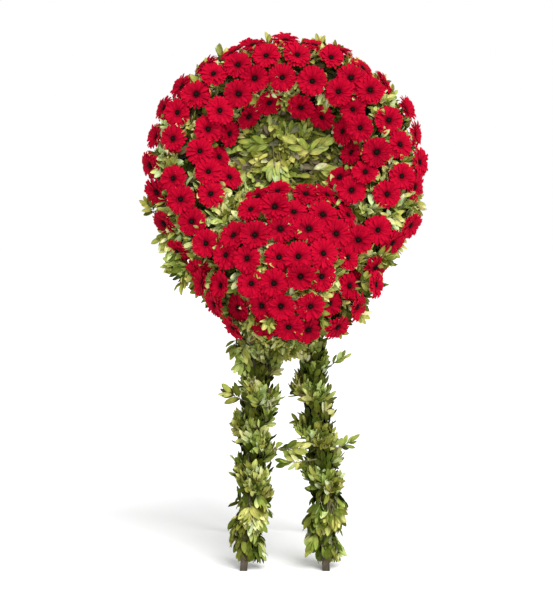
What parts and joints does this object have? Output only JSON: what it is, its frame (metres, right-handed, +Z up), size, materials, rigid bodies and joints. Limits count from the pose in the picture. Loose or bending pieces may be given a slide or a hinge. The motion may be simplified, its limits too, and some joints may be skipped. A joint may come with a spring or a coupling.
{
  "type": "memorial wreath",
  "caption": "Standing funeral wreath: a round head of red gerberas and bay leaves with a leaf nest, on a timber easel with leaf-wrapped legs.",
  "frame": {"origin": "on the floor, in the middle of the model's box", "axes": "+Z up, +X to the viewer's right, +Y away from the viewer"},
  "size_m": [0.9624, 0.7083, 1.7881],
  "materials": {
    "sawn_timber": "rough sawn softwood, weathered grey-brown",
    "board": "pressed fibre board, matt",
    "straw": "packed wheat straw bound with twine",
    "bay_leaf": "leathery evergreen leaf, half matt",
    "pale_leaf": "young yellow-green leaf, half matt",
    "petal": "fresh petals, soft sheen"
  },
  "bodies": {
    "root": {"back_board": "board", "belly_core": "straw", "belly_leaf_bed": "bay_leaf", "crossing_sprig": "bay_leaf", "gerberas_belly_1": "petal", "gerberas_belly_2": "petal", "gerberas_belly_3": "petal", "gerberas_belly_4": "petal", "gerberas_belly_5": "petal", "gerberas_belly_6": "petal", "gerberas_belly_7": "petal", "gerberas_crest_1": "petal", "gerberas_crest_2": "petal", "gerberas_crest_3": "petal", "gerberas_crest_4": "petal", "gerberas_crest_5": "petal", "gerberas_inner_1": "petal", "gerberas_inner_2": "petal", "gerberas_inner_3": "petal", "gerberas_inner_4": "petal", "gerberas_inner_5": "petal", "gerberas_outer_1": "petal", "gerberas_outer_2": "petal", "gerberas_outer_3": "petal", "gerberas_outer_4": "petal", "gerberas_outer_5": "petal", "gerberas_rim_1": "petal", "gerberas_rim_2": "petal", "gerberas_rim_3": "petal", "gerberas_rim_4": "petal", "gerberas_rim_5": "petal", "left_leg": "sawn_timber", "left_leg_bunch_1": "bay_leaf", "left_leg_bunch_2": "bay_leaf", "left_leg_bunch_3": "bay_leaf", "left_leg_bunch_4": "bay_leaf", "left_leg_bunch_5": "bay_leaf", "left_prop_stay": "sawn_timber", "left_rear_prop": "sawn_timber", "left_sprig": "bay_leaf", "lower_rail": "sawn_timber", "nest_leaf_mat": "pale_leaf", "right_leg": "sawn_timber", "right_leg_bunch_1": "bay_leaf", "right_leg_bunch_2": "bay_leaf", "right_leg_bunch_3": "bay_leaf", "right_leg_bunch_4": "bay_leaf", "right_leg_bunch_5": "bay_leaf", "right_prop_stay": "sawn_timber", "right_rear_prop": "sawn_timber", "right_sprig": "bay_leaf", "right_upper_sprig": "bay_leaf", "ring_leaf_bundle_1": "bay_leaf", "ring_leaf_bundle_2": "bay_leaf", "ring_leaf_bundle_3": "bay_leaf", "ring_leaf_bundle_4": "bay_leaf", "ring_leaf_bundle_5": "bay_leaf", "straw_ring": "straw", "top_rail": "sawn_timber"}
  },
  "joints": []
}
